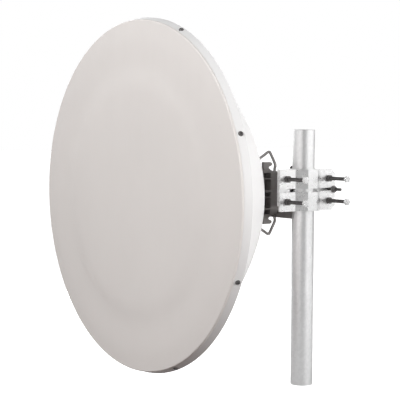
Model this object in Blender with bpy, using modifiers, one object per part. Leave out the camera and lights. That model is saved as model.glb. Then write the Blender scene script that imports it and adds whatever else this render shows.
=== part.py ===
"""Microwave dish antenna on a short mast, with its side-offset pole clamp.

Metres, +Z up.  The origin is the centre of the mast's foot.  The dish looks
along -Y and its axis passes beside the mast, on the -X side.
"""

import math

import bmesh
import bpy
from mathutils import Matrix, Vector

# Where the dish axis runs, measured from the mast's axis and foot.
AXIS_X = -0.185
AXIS_Z = 0.520
FACE_Y = -0.4255

# Dish: depths are measured rearwards from the edge of the radome's face.
FACE_R = 0.465
RIM_DEPTH = 0.026
BOWL_R = 0.445
BOWL_DEPTH = 0.311
SHELL = 0.0025
FLANGE_R = 0.4673
FLANGE_T = 0.003
RADOME_T = 0.003
RADOME_EDGE = 0.005
PANEL_R = 0.295
PANEL_RISE = 0.0075
STEP_R = 0.340
STEP_RISE = 0.004
SLOPE_R = 0.4185
BAND_R = 0.4645
BAND_REAR_R = 0.4715
BAND_T = 0.0027
BAND_LIP = 0.018
SCREW_COUNT = 8
SCREW_TURN = math.radians(21.3)
SCREW_R = 0.0065
SCREW_TIP_R = 0.0045
SCREW_HEAD = 0.0042
SCREW_DEPTH = 0.0150

# Hub on the back of the dish.
FLANGE_HUB_R = 0.080
FLANGE_HUB_CHAMFER = 0.006
HUB_FRONT = 0.352
HUB_HALF = 0.0645
HUB_RIBBED_END = 0.4122
HUB_PLATE_END = 0.4340
HUB_CORNER = 0.006
HUB_PLATE_HALF = 0.0618
POCKET_SIDE = 0.026
POCKET_TOP = 0.012
POCKET_FRONT = 0.362
POCKET_REAR = 0.4092
POCKETS_Z = (
    (0.0418, 0.0560), (0.0086, 0.0382), (-0.0094, 0.0030), (-0.0421, -0.0131), (-0.0585, -0.0461),
)
POCKETS_X = ((-0.034, -0.014), (-0.010, 0.010), (0.014, 0.034))
PORT_R = 0.024
PORT_BORE = 0.010
PORT_DEPTH = 0.008

# Spring latches and hooks at the four corners of the hub, as depth and height.
LATCH_X = 0.055
LATCH_W = 0.005
LATCH_T = 0.0065
LATCH_PATH = (
    (0.3590, 0.0648), (0.3590, 0.0770), (0.3650, 0.0885), (0.3811, 0.0997), (0.3939, 0.1070),
    (0.4030, 0.1127), (0.4080, 0.1154), (0.4114, 0.1150), (0.4152, 0.1103), (0.4225, 0.0980),
    (0.4290, 0.0866), (0.4326, 0.0790), (0.4328, 0.0745), (0.4316, 0.0712), (0.4304, 0.0680),
    (0.4304, 0.0621),
)
HOOK_W = 0.010
HOOK_OUTLINE = (
    (0.3880, 0.0635), (0.4110, 0.0635), (0.4110, 0.0668), (0.4058, 0.0695), (0.4062, 0.0725),
    (0.4085, 0.0745), (0.4135, 0.0757), (0.4168, 0.0783), (0.4175, 0.0815), (0.4160, 0.0845),
    (0.4125, 0.0864), (0.3880, 0.0868),
)

# Bracket that carries the hub, and the arm of the elevation screw.
PLATE_T = 0.008
BRACKET_IN = 0.030
BRACKET_OUT = 0.100
BRACKET_LOW = -0.0365
BRACKET_HIGH = 0.060
BRACKET_NOSE = 0.020
TAPER_START = 0.030
TAPER_HALF = 0.020
TAPER_END_HALF = 0.008
BRACKET_BOLTS_X = (0.039, 0.057)
BRACKET_BOLTS_Z = (0.048, -0.024)
ARM_BOX_LOW = -0.0690
ARM_BOX_HIGH = -0.0500
ARM_DEPTH = 0.022
ARM_END = 0.1365
ARM_BOSS_X = (0.006, 0.0635)
ARM_BOSS_HIGH = -0.0380
ARM_BOSS_DEPTH = 0.0079

# Pole clamp: distances are measured from the mast's axis.
MAST_R = 0.03015
MAST_WALL = 0.0036
MAST_LENGTH = 0.698
FOOT_T = 0.006
CLAMP_Z = AXIS_Z + 0.0144
JAW_HEIGHT = 0.052
JAW_GAP = 0.0092
JAW_HALF = 0.0985
JAW_FLANGE = (0.0150, 0.020)
JAW_FOOT_HALF = 0.0445
JAW_CHAMFER = 0.013
GRIP_TOP = (0.033, 0.0405)
GRIP_TOP_HALF = 0.0168
GRIP_ANGLE = math.radians(40.0)
SADDLE_FLANGE = (-0.001, 0.007)
SADDLE_FOOT_HALF = 0.0490
SADDLE_REACH = (-0.086, 0.106)
SADDLE_LOW = -0.0431
BOLT_Y = 0.0735
BOLT_R = 0.005
BOLT_OUT = 0.0925
BOLT_IN = -0.014
BOLT_HEAD_T = 0.0064
HEX_AF = 0.017
NUT_T = 0.008
SMALL_HEX_AF = 0.013
SMALL_HEAD_T = 0.0055
PIVOT_Y = 0.092
PIVOT_R = 0.004
PIVOT_BOSS_R = 0.014
PIVOT_END = 0.051
PIVOT_WASHER_R = 0.010
PIVOT_WASHER_T = 0.003
PIVOT_NUT_R = (0.0075, 0.0065)
PIVOT_NUT_T = 0.0065
ROD_X = -0.0713
ROD_Y = 0.0198
ROD_R = 0.004
ROD_TOP = 0.0775
ROD_NUT_AF = 0.013
ROD_NUT_T = 0.0065
ROD_NUT_DOWN = 0.003
ROD_TRAVEL = 0.028
FORK_Z = (0.0180, 0.0260)
FORK_Y = (-0.002, 0.036)
FORK_PRONG = 0.005
FORK_SLOT = 0.008
FORK_END = -0.080

GAP = 0.0003
HOLE_CLEARANCE = 0.0005
MERGE = 0.0005
PAST = 0.01
ROUND = 72
SMALL_ROUND = 24

for old in list(bpy.data.objects):
    bpy.data.objects.remove(old, do_unlink=True)


def new_collection(name):
    made = bpy.data.collections.new(name)
    bpy.context.scene.collection.children.link(made)
    return made


PARTS = new_collection("microwave_dish_antenna")
CUTTERS = new_collection("cutters")


def principled(name, colour, roughness, metallic):
    """A plain material with the piece's colour."""
    made = bpy.data.materials.new(name)
    made.use_nodes = True
    shader = made.node_tree.nodes["Principled BSDF"]
    shader.inputs["Base Color"].default_value = (*colour, 1.0)
    shader.inputs["Roughness"].default_value = roughness
    shader.inputs["Metallic"].default_value = metallic
    return made


LOOKS = {
    "radome": ((0.62, 0.61, 0.58), 0.55, 0.0),
    "painted": ((0.80, 0.80, 0.78), 0.45, 0.0),
    "casting": ((0.055, 0.053, 0.050), 0.55, 0.2),
    "galvanised": ((0.62, 0.63, 0.64), 0.45, 0.9),
    "bright": ((0.80, 0.81, 0.82), 0.30, 0.95),
    "steel": ((0.14, 0.13, 0.13), 0.40, 0.8),
}


def finish(obj, look, collection=PARTS):
    """Put the object in its collection and give it a material of its own."""
    for home in list(obj.users_collection):
        home.objects.unlink(obj)
    collection.objects.link(obj)
    if look:
        colour, roughness, metallic = LOOKS[look]
        obj.data.materials.clear()
        obj.data.materials.append(principled(obj.name, colour, roughness, metallic))
    else:
        obj.hide_render = True
        obj.display_type = "WIRE"
    return obj


def smooth(obj):
    obj.data.shade_smooth()
    obj.data.set_sharp_from_angle(angle=math.radians(35.0))


def evaluated_mesh(obj):
    """Replace an object's modifiers by the mesh that they make."""
    graph = bpy.context.evaluated_depsgraph_get()
    mesh = bpy.data.meshes.new_from_object(obj.evaluated_get(graph))
    obj.modifiers.clear()
    obj.data = mesh
    return obj


def turned(name, profile, look, steps=ROUND, closed=False):
    """Turn a profile of (radius, height) about local Z."""
    mesh = bpy.data.meshes.new(name)
    points = [(radius, 0.0, height) for radius, height in profile]
    edges = [(i, i + 1) for i in range(len(points) - 1)]
    if closed:
        edges.append((len(points) - 1, 0))
    mesh.from_pydata(points, edges, [])
    obj = bpy.data.objects.new(name, mesh)
    screw = obj.modifiers.new("turn", "SCREW")
    screw.axis = "Z"
    screw.angle = math.tau
    screw.steps = steps
    screw.render_steps = steps
    screw.use_merge_vertices = True
    screw.merge_threshold = 0.00001
    return finish(obj, look)


def box(name, low, high, look, collection=PARTS):
    """A box between two corners."""
    mesh = bpy.data.meshes.new(name)
    work = bmesh.new()
    bmesh.ops.create_cube(work, size=1.0)
    size = [b - a for a, b in zip(low, high)]
    middle = [(a + b) / 2.0 for a, b in zip(low, high)]
    bmesh.ops.scale(work, vec=size, verts=work.verts)
    bmesh.ops.translate(work, vec=middle, verts=work.verts)
    work.to_mesh(mesh)
    work.free()
    return finish(bpy.data.objects.new(name, mesh), look, collection)


def rod(name, start, end, radius, look, sides=SMALL_ROUND, collection=PARTS, tip=None, turn=0.0):
    """A round or many-sided bar from start to end; tip is the radius at the end."""
    start, end = Vector(start), Vector(end)
    along = end - start
    mesh = bpy.data.meshes.new(name)
    work = bmesh.new()
    bmesh.ops.create_cone(
        work, cap_ends=True, segments=sides, radius1=radius,
        radius2=radius if tip is None else tip, depth=along.length)
    spin = Matrix.Rotation(turn, 4, "Z")
    aim = along.to_track_quat("Z", "Y").to_matrix().to_4x4()
    place = Matrix.Translation((start + end) / 2.0)
    bmesh.ops.transform(work, matrix=place @ aim @ spin, verts=work.verts)
    work.to_mesh(mesh)
    work.free()
    return finish(bpy.data.objects.new(name, mesh), look, collection)


def plate(name, outline, plane, centre, thickness, look, collection=PARTS):
    """A flat outline given thickness on both sides of its plane.

    plane "x" takes (y, z) points and stands at x = centre; "z" takes (x, y).
    """
    if plane == "x":
        points = [(centre, a, b) for a, b in outline]
    else:
        points = [(a, b, centre) for a, b in outline]
    mesh = bpy.data.meshes.new(name)
    work = bmesh.new()
    face = work.faces.new([work.verts.new(point) for point in points])
    face.normal_update()
    work.to_mesh(mesh)
    work.free()
    obj = bpy.data.objects.new(name, mesh)
    solid = obj.modifiers.new("thickness", "SOLIDIFY")
    solid.thickness = thickness
    solid.offset = 0.0
    finish(obj, look, collection)
    bpy.context.view_layer.update()
    return evaluated_mesh(obj)


def combine(obj, others, operation):
    """Join or cut an object with others, which stay as guides."""
    for other in others:
        step = obj.modifiers.new(operation.lower(), "BOOLEAN")
        step.operation = operation
        step.solver = "EXACT"
        step.object = other
    return obj


def settle(obj):
    bpy.context.view_layer.update()
    return evaluated_mesh(obj)


def hexagon(name, start, end, across_flats, look, turn=0.0):
    return rod(name, start, end, across_flats / math.sqrt(3.0), look, sides=6, turn=turn)


def at_axis(x, depth, z):
    """A point given from the dish axis, with its depth behind the face."""
    return (AXIS_X + x, FACE_Y + depth, AXIS_Z + z)


def bowl_depth(radius, outside):
    """Depth of the bowl's surface behind the face at a radius."""
    depth = RIM_DEPTH + BOWL_DEPTH * (1.0 - (radius / BOWL_R) ** 2)
    return depth if outside else depth - SHELL * math.hypot(1.0, 2.0 * BOWL_DEPTH * radius / BOWL_R ** 2)


def seat_on_axis(obj):
    """Stand a turned piece on the dish axis, its height pointing rearwards."""
    obj.rotation_euler = (-math.pi / 2.0, 0.0, 0.0)
    obj.location = at_axis(0.0, 0.0, 0.0)
    return obj


def build_dish():
    rings = 13
    radii = [BOWL_R * i / rings for i in range(rings + 1)]
    outer = [(r, bowl_depth(r, True)) for r in radii]
    inner = [(r * 0.995, bowl_depth(r, False)) for r in radii[:-1]]
    lip = RIM_DEPTH - FLANGE_T
    profile = outer + [(FLANGE_R, RIM_DEPTH), (FLANGE_R, lip), (BOWL_R - 2.5 * SHELL, lip)]
    profile += [point for point in reversed(inner) if point[1] > lip + SHELL]
    profile[-1] = (0.0, profile[-1][1])
    reflector = seat_on_axis(turned("reflector", profile, "painted"))
    smooth(reflector)

    front = [
        (FACE_R, RADOME_EDGE),
        (FACE_R, 0.0),
        (SLOPE_R, -STEP_RISE),
        (STEP_R, -STEP_RISE),
        (PANEL_R, -PANEL_RISE),
        (0.0, -PANEL_RISE),
    ]
    back = [
        (0.0, -PANEL_RISE + RADOME_T),
        (PANEL_R, -PANEL_RISE + RADOME_T),
        (STEP_R, -STEP_RISE + RADOME_T),
        (SLOPE_R, -STEP_RISE + RADOME_T),
        (FACE_R - RADOME_T, RADOME_T),
        (FACE_R - RADOME_T, RADOME_EDGE),
    ]
    smooth(seat_on_axis(turned("radome", back + front, "radome")))

    start = RADOME_EDGE + GAP
    band = [
        (BAND_R - BAND_LIP, start + BAND_T),
        (BAND_R - BAND_T, start + BAND_T),
        (BAND_REAR_R - BAND_T, RIM_DEPTH),
        (BAND_REAR_R, RIM_DEPTH),
        (BAND_R, start),
        (BAND_R - BAND_LIP, start),
    ]
    smooth(seat_on_axis(turned("rim_band", band, "painted", closed=True)))
    build_screws(start)


def build_screws(start):
    """Screws that stand square on the flared rim, round the dish."""
    flare = math.atan2(BAND_REAR_R - BAND_R, RIM_DEPTH - start)
    seat = BAND_R + (SCREW_DEPTH - start) * math.tan(flare)
    for i in range(SCREW_COUNT):
        angle = SCREW_TURN + math.tau * i / SCREW_COUNT
        points = []
        for height in (GAP, GAP + SCREW_HEAD):
            radius = seat + height * math.cos(flare)
            depth = SCREW_DEPTH - height * math.sin(flare)
            points.append(at_axis(radius * math.cos(angle), depth, radius * math.sin(angle)))
        rod(f"rim_screw_{i + 1}", *points, SCREW_R, "steel", sides=16, tip=SCREW_TIP_R)


def build_hub():
    steps = 5
    face = [FLANGE_HUB_R * i / steps for i in range(steps, -1, -1)]
    profile = [
        (0.0, HUB_FRONT), (FLANGE_HUB_R - FLANGE_HUB_CHAMFER, HUB_FRONT),
        (FLANGE_HUB_R, HUB_FRONT - FLANGE_HUB_CHAMFER),
    ]
    profile += [(r, bowl_depth(r, True) + GAP * 1.5) for r in face]
    smooth(seat_on_axis(turned("hub_flange", profile, "casting", steps=48)))

    block = box(
        "hub_body", at_axis(-HUB_HALF, HUB_FRONT + GAP, -HUB_HALF),
        at_axis(HUB_HALF, HUB_RIBBED_END, HUB_HALF), "casting")
    cutters = []
    for side in (-1, 1):
        inner, outer = sorted((side * (HUB_HALF - POCKET_SIDE), side * (HUB_HALF + PAST)))
        for i, (low, high) in enumerate(POCKETS_Z):
            cutters.append(box(
                f"pocket_side_{side}_{i}", at_axis(inner, POCKET_FRONT, low),
                at_axis(outer, POCKET_REAR, high), None, CUTTERS))
        inner, outer = sorted((side * (HUB_HALF - POCKET_TOP), side * (HUB_HALF + PAST)))
        for i, (low, high) in enumerate(POCKETS_X):
            cutters.append(box(
                f"pocket_top_{side}_{i}", at_axis(low, POCKET_FRONT, inner),
                at_axis(high, POCKET_REAR, outer), None, CUTTERS))
    combine(block, cutters, "DIFFERENCE")
    settle(combine(block, hook_solids(), "UNION"))

    wide, tall, corner = HUB_HALF - HUB_CORNER, HUB_PLATE_HALF - HUB_CORNER, HUB_CORNER
    outline = []
    for sx, sz, start in ((1, 1, 0), (-1, 1, 90), (-1, -1, 180), (1, -1, 270)):
        for k in range(4):
            angle = math.radians(start + 30 * k)
            outline.append((sx * wide + corner * math.cos(angle), sz * tall + corner * math.sin(angle)))
    middle = (HUB_RIBBED_END + GAP + HUB_PLATE_END) / 2.0
    thick = HUB_PLATE_END - HUB_RIBBED_END - GAP
    plate_obj = plate("hub_rear_plate", outline, "z", 0.0, thick, "casting")
    turn = Matrix.Translation(at_axis(0.0, middle, 0.0)) @ Matrix.Rotation(math.pi / 2.0, 4, "X")
    plate_obj.data.transform(turn)

    bore = [
        (PORT_BORE, PORT_DEPTH),
        (PORT_R, PORT_DEPTH),
        (PORT_R, 0.0),
        (PORT_BORE, 0.0),
    ]
    port = turned("radio_port", bore, "bright", steps=32, closed=True)
    port.rotation_euler = (-math.pi / 2.0, 0.0, 0.0)
    port.location = at_axis(0.0, HUB_PLATE_END + GAP, 0.0)
    smooth(port)


def strap_outline(path, thickness):
    """Outline of a flat bar bent along a path, from its centre line."""
    left, right = [], []
    for i, (y, z) in enumerate(path):
        before = Vector(path[i]) - Vector(path[i - 1]) if i else None
        after = Vector(path[i + 1]) - Vector(path[i]) if i + 1 < len(path) else None
        directions = [d.normalized() for d in (before, after) if d is not None]
        along = sum(directions, Vector((0.0, 0.0))).normalized()
        normal = Vector((-along.y, along.x))
        scale = thickness / 2.0 / max(0.5, normal.dot(Vector((-directions[0].y, directions[0].x))))
        left.append((y + normal.x * scale, z + normal.y * scale))
        right.append((y - normal.x * scale, z - normal.y * scale))
    return left + right[::-1]


def corner_points(points, vertical):
    """Outline points given as depth and height, for the top or the bottom."""
    return [(FACE_Y + depth, AXIS_Z + vertical * height) for depth, height in points]


def hook_solids():
    """Cast hooks that stand on the hub's corners, top and bottom."""
    made = []
    for vertical in (1, -1):
        for side in (1, -1):
            made.append(plate(
                f"hook_{vertical}_{side}", corner_points(HOOK_OUTLINE, vertical), "x",
                AXIS_X + side * LATCH_X, HOOK_W, None, CUTTERS))
    return made


def build_latches():
    """Bent spring latches over the hub's hooks."""
    strap = strap_outline(LATCH_PATH, LATCH_T)
    number = 0
    for vertical in (1, -1):
        for side in (1, -1):
            number += 1
            plate(
                f"latch_{number}", corner_points(strap, vertical), "x",
                AXIS_X + side * LATCH_X, LATCH_W, "casting")


def build_bracket():
    """Bracket from the hub's rear plate to the pivot, with its bolts."""
    back = HUB_PLATE_END + GAP
    pivot_depth = -FACE_Y + PIVOT_Y
    nose = pivot_depth + BRACKET_NOSE
    leg = [
        (BRACKET_IN, back), (BRACKET_OUT, back), (BRACKET_OUT, nose),
        (BRACKET_OUT - PLATE_T, nose), (BRACKET_OUT - PLATE_T, back + PLATE_T),
        (BRACKET_IN, back + PLATE_T),
    ]
    outline = [(AXIS_X + x, FACE_Y + y) for x, y in leg]
    centre = AXIS_Z + (BRACKET_LOW + BRACKET_HIGH) / 2.0
    bracket = plate("bracket", outline, "z", centre, BRACKET_HIGH - BRACKET_LOW, "bright")
    pivot_z = CLAMP_Z - AXIS_Z
    cutters = []
    for sign, edge in ((1, BRACKET_HIGH), (-1, BRACKET_LOW)):
        wedge = [
            (back + TAPER_START, edge + sign * PAST), (back + TAPER_START, edge),
            (pivot_depth, pivot_z + sign * TAPER_HALF), (nose + PAST, pivot_z + sign * TAPER_END_HALF),
            (nose + PAST, edge + sign * PAST),
        ]
        points = [(FACE_Y + y, AXIS_Z + z) for y, z in wedge]
        cutters.append(plate(
            f"bracket_wedge_{sign}", points, "x", AXIS_X + BRACKET_OUT - PLATE_T / 2.0,
            PLATE_T * 2.0, None, CUTTERS))
    hole = at_axis(BRACKET_OUT - PLATE_T - PAST, pivot_depth, pivot_z)
    through = at_axis(BRACKET_OUT + PAST, pivot_depth, pivot_z)
    cutters.append(rod(
        "bracket_pivot_hole", hole, through, PIVOT_R + HOLE_CLEARANCE, None, collection=CUTTERS))
    settle(combine(bracket, cutters, "DIFFERENCE"))

    seat = back + PLATE_T + GAP
    number = 0
    for z in BRACKET_BOLTS_Z:
        for x in BRACKET_BOLTS_X:
            number += 1
            hexagon(
                f"bracket_bolt_{number}", at_axis(x, seat, z), at_axis(x, seat + SMALL_HEAD_T, z),
                SMALL_HEX_AF, "steel")


def build_arm():
    """Arm under the bracket, with the elevation rod that stands on it."""
    back = HUB_PLATE_END + GAP
    arm = box(
        "elevation_arm", at_axis(0.0, back, ARM_BOX_LOW), at_axis(ARM_END, back + ARM_DEPTH, ARM_BOX_HIGH),
        "casting")
    boss = box(
        "arm_boss", at_axis(ARM_BOSS_X[0], back, (ARM_BOX_LOW + ARM_BOX_HIGH) / 2.0),
        at_axis(ARM_BOSS_X[1], back + ARM_BOSS_DEPTH, ARM_BOSS_HIGH), None, CUTTERS)
    hole = rod(
        "arm_rod_hole", (ROD_X, ROD_Y, AXIS_Z + ARM_BOX_LOW - PAST),
        (ROD_X, ROD_Y, AXIS_Z + ARM_BOX_HIGH + PAST), ROD_R + HOLE_CLEARANCE, None, collection=CUTTERS)
    combine(arm, [boss], "UNION")
    settle(combine(arm, [hole], "DIFFERENCE"))

    rod(
        "elevation_rod", (ROD_X, ROD_Y, AXIS_Z + ARM_BOX_LOW), (ROD_X, ROD_Y, AXIS_Z + ROD_TOP),
        ROD_R, "steel")


def grip_outline(sign, flange, foot_half, reach):
    """Section of a clamp piece across the mast; sign +1 is the near side.

    flange gives the flange's inner and outer distance from the mast's axis,
    and reach its two ends along Y.
    """
    radius = MAST_R + GAP
    inner = []
    for x in (flange[0], GRIP_TOP[0]):
        inner.append((x, (radius - x * math.cos(GRIP_ANGLE)) / math.sin(GRIP_ANGLE)))
    outline = [(inner[1][0], inner[1][1])]
    outline += [
        (flange[0], inner[0][1]), (flange[0], reach[1]), (flange[1], reach[1]), (flange[1], foot_half),
        (GRIP_TOP[1], GRIP_TOP_HALF), (GRIP_TOP[1], -GRIP_TOP_HALF), (flange[1], -foot_half),
        (flange[1], reach[0]), (flange[0], reach[0]), (flange[0], -inner[0][1]),
    ]
    outline.append((inner[1][0], -inner[1][1]))
    return [(sign * x, y) for x, y in outline]


def bolt_holes(name, zs):
    """Cutters for the clamp bolts' holes at the given heights."""
    made = []
    for i, z in enumerate(zs):
        for j, y in enumerate((-BOLT_Y, BOLT_Y)):
            made.append(rod(
                f"{name}_{i}_{j}", (-JAW_HALF, y, z), (JAW_HALF, y, z), BOLT_R + HOLE_CLEARANCE, None,
                collection=CUTTERS))
    return made


def build_jaws(levels):
    """Two jaws on the near side of the mast, with cut corners."""
    for name, level, sign in (("upper_jaw", levels[0], 1), ("lower_jaw", levels[1], -1)):
        outline = grip_outline(1, JAW_FLANGE, JAW_FOOT_HALF, (-JAW_HALF, JAW_HALF))
        jaw = plate(name, outline, "z", level, JAW_HEIGHT, "bright")
        edge = level + sign * JAW_HEIGHT / 2.0
        corner = [
            (JAW_HALF - JAW_CHAMFER, edge), (JAW_HALF, edge - sign * JAW_CHAMFER),
            (JAW_HALF + PAST, edge - sign * JAW_CHAMFER), (JAW_HALF + PAST, edge + sign * PAST),
            (JAW_HALF - JAW_CHAMFER, edge + sign * PAST),
        ]
        chamfer = plate(f"{name}_corner", corner, "x", JAW_FLANGE[0], 4.0 * PAST, None, CUTTERS)
        settle(combine(jaw, [chamfer] + bolt_holes(name, [level]), "DIFFERENCE"))


def build_saddle(levels):
    """Saddle behind the mast, with the pivot's boss and the rod's fork."""
    top = levels[0] + JAW_HEIGHT / 2.0
    low = CLAMP_Z + SADDLE_LOW
    outline = grip_outline(-1, SADDLE_FLANGE, SADDLE_FOOT_HALF, SADDLE_REACH)
    saddle = plate("saddle", outline, "z", (top + low) / 2.0, top - low, "bright")
    bracket_face = AXIS_X + BRACKET_OUT
    boss = rod(
        "pivot_boss", (-(SADDLE_FLANGE[0] + SADDLE_FLANGE[1]) / 2.0, PIVOT_Y, CLAMP_Z),
        (bracket_face + GAP, PIVOT_Y, CLAMP_Z), PIVOT_BOSS_R, None, collection=CUTTERS)
    root = -(GRIP_TOP[0] + GRIP_TOP[1]) / 2.0
    fork = box(
        "fork", (FORK_END, FORK_Y[0], AXIS_Z + FORK_Z[0]), (root, FORK_Y[1], AXIS_Z + FORK_Z[1]),
        None, CUTTERS)
    slot = box(
        "fork_slot", (FORK_END - PAST, FORK_Y[0] + FORK_PRONG, AXIS_Z + FORK_Z[0] - PAST),
        (ROD_X + FORK_SLOT, FORK_Y[1] - FORK_PRONG, AXIS_Z + FORK_Z[1] + PAST), None, CUTTERS)
    hole = rod(
        "pivot_hole", (bracket_face - PAST, PIVOT_Y, CLAMP_Z), (PAST, PIVOT_Y, CLAMP_Z),
        PIVOT_R + HOLE_CLEARANCE, None, collection=CUTTERS)
    combine(saddle, [boss, fork], "UNION")
    settle(combine(saddle, [slot, hole] + bolt_holes("saddle", levels), "DIFFERENCE"))


def build_clamp_bolts(levels):
    """Long bolts with their heads to the near side, and nuts on the jaws."""
    number = 0
    for level in levels:
        for y in (-BOLT_Y, BOLT_Y):
            number += 1
            bolt = rod(
                f"clamp_bolt_{number}", (BOLT_IN, y, level), (BOLT_OUT, y, level), BOLT_R, "steel")
            head = rod(
                f"bolt_head_{number}", (BOLT_OUT - MERGE, y, level), (BOLT_OUT + BOLT_HEAD_T, y, level),
                HEX_AF / math.sqrt(3.0), None, sides=6, collection=CUTTERS)
            settle(combine(bolt, [head], "UNION"))
            start = JAW_FLANGE[1] + GAP
            nut = hexagon(
                f"clamp_nut_{number}", (start, y, level), (start + NUT_T, y, level), HEX_AF, "steel")
            bore = rod(
                f"nut_bore_{number}", (start - PAST, y, level), (start + NUT_T + PAST, y, level),
                BOLT_R + GAP, None, collection=CUTTERS)
            settle(combine(nut, [bore], "DIFFERENCE"))


def ring_on_pivot(name, x, low_r, high_r, thickness):
    """A ring on the pivot bolt from x, with its radius at each end."""
    bore = PIVOT_R + GAP
    profile = [(bore, thickness), (high_r, thickness), (low_r, 0.0), (bore, 0.0)]
    ring = turned(name, profile, "steel", steps=32, closed=True)
    ring.rotation_euler = (0.0, math.pi / 2.0, 0.0)
    ring.location = (x, PIVOT_Y, CLAMP_Z)
    return ring


def build_pivot():
    """Pivot bolt through the bracket and the saddle, with washer and nut."""
    head_x = AXIS_X + BRACKET_OUT - PLATE_T - GAP
    pivot = rod(
        "pivot_bolt", (head_x - MERGE, PIVOT_Y, CLAMP_Z), (PIVOT_END, PIVOT_Y, CLAMP_Z), PIVOT_R, "steel")
    head = rod(
        "pivot_head", (head_x - SMALL_HEAD_T, PIVOT_Y, CLAMP_Z), (head_x, PIVOT_Y, CLAMP_Z),
        SMALL_HEX_AF / math.sqrt(3.0), None, sides=6, collection=CUTTERS)
    settle(combine(pivot, [head], "UNION"))
    start = JAW_FLANGE[1] + GAP
    ring_on_pivot("pivot_washer", start, PIVOT_WASHER_R, PIVOT_WASHER_R, PIVOT_WASHER_T)
    ring_on_pivot("pivot_nut", start + PIVOT_WASHER_T + GAP, *PIVOT_NUT_R, PIVOT_NUT_T)


def build_clamp():
    half = (JAW_HEIGHT + JAW_GAP) / 2.0
    levels = (CLAMP_Z + half, CLAMP_Z - half)
    build_jaws(levels)
    build_saddle(levels)
    build_clamp_bolts(levels)
    build_pivot()


def build_mast():
    inner = MAST_R - MAST_WALL
    profile = [
        (0.0, FOOT_T), (inner, FOOT_T), (inner, MAST_LENGTH), (MAST_R, MAST_LENGTH),
        (MAST_R, 0.0), (0.0, 0.0),
    ]
    smooth(turned("mast", profile, "galvanised", steps=48))


def build_rod_nuts():
    """Stop nuts above and below the fork, which hold the rod's travel."""
    top = AXIS_Z + ROD_TOP - ROD_NUT_DOWN
    low = AXIS_Z + FORK_Z[0] - ROD_TRAVEL
    for name, high in (("rod_nut_upper", top), ("rod_nut_lower", low)):
        nut = hexagon(name, (ROD_X, ROD_Y, high - ROD_NUT_T), (ROD_X, ROD_Y, high), ROD_NUT_AF, "steel")
        bore = rod(
            f"{name}_bore", (ROD_X, ROD_Y, high - 2.0 * PAST), (ROD_X, ROD_Y, high + PAST), ROD_R + GAP,
            None, collection=CUTTERS)
        settle(combine(nut, [bore], "DIFFERENCE"))


build_dish()
build_hub()
build_latches()
build_bracket()
build_arm()
build_clamp()
build_rod_nuts()
build_mast()
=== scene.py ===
import math

import bpy
from bpy.props import FloatProperty, FloatVectorProperty, IntProperty, PointerProperty
from mathutils import Matrix, Vector


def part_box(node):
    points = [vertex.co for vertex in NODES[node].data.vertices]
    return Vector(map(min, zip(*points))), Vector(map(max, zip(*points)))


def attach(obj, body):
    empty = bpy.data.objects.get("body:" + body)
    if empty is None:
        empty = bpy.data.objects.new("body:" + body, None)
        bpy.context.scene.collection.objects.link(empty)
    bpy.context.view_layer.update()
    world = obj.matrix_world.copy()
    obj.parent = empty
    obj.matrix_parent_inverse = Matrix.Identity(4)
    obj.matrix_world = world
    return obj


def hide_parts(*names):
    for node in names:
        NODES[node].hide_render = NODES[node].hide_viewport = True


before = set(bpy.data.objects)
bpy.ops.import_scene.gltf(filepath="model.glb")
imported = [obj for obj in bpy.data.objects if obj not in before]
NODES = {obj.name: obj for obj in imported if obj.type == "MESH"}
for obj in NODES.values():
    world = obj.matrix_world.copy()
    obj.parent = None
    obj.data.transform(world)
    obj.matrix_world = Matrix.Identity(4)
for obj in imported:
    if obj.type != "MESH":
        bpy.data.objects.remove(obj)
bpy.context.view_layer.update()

bl_info = {
    "name": "Microwave dish antenna",
    "version": (1, 0, 0),
    "blender": (4, 5, 0),
    "location": "3D Viewport > Sidebar > Dish",
    "description": "Models the visible pieces of a pole-mounted dish antenna and its studio",
    "category": "Object",
}


# Places that the CAD nodes give.

def middle(node):
    """Middle of a node's box."""
    low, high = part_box(node)
    return (low + high) / 2.0


RADOME_LOW, RADOME_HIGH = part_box("radome")
DISH_CENTRE = (RADOME_LOW + RADOME_HIGH) / 2.0
FACE_R = (RADOME_HIGH.x - RADOME_LOW.x) / 2.0
PANEL_RISE = 0.0075
FACE_Y = RADOME_LOW.y + PANEL_RISE
MAST_LOW, MAST_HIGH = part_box("mast")
MAST_R = (MAST_HIGH.x - MAST_LOW.x) / 2.0

# Turns that take a turned profile's Z to the rear (+Y) and to the right (+X).
REARWARDS = Matrix.Rotation(-math.pi / 2.0, 4, "X")
ALONG_X = Matrix.Rotation(math.pi / 2.0, 4, "Y")

# Bolts of the clamp (10 mm) and of the tilt (8 mm): bar, hexagon across flats, head, nut's bore.
CLAMP_BOLT_R, CLAMP_BOLT_FLATS, CLAMP_BOLT_HEAD, CLAMP_NUT_BORE = 0.0050, 0.017, 0.0064, 0.0052
TILT_BOLT_R, TILT_BOLT_FLATS, TILT_BOLT_HEAD, TILT_NUT_BORE = 0.0040, 0.013, 0.0055, 0.0043
TILT_PITCH = 0.00125

# Where the camera stands, and how it is turned, dipped and rolled, in degrees.
CAMERA_PLACE = (2.7032, -2.3025, 0.7126)
CAMERA_TURN, CAMERA_DIP, CAMERA_ROLL = 54.12, 3.36, 0.30
LIGHTS_AIM = Vector((-0.1, -0.1, 0.5))


# Sizes and colours that a user would change.

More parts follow.
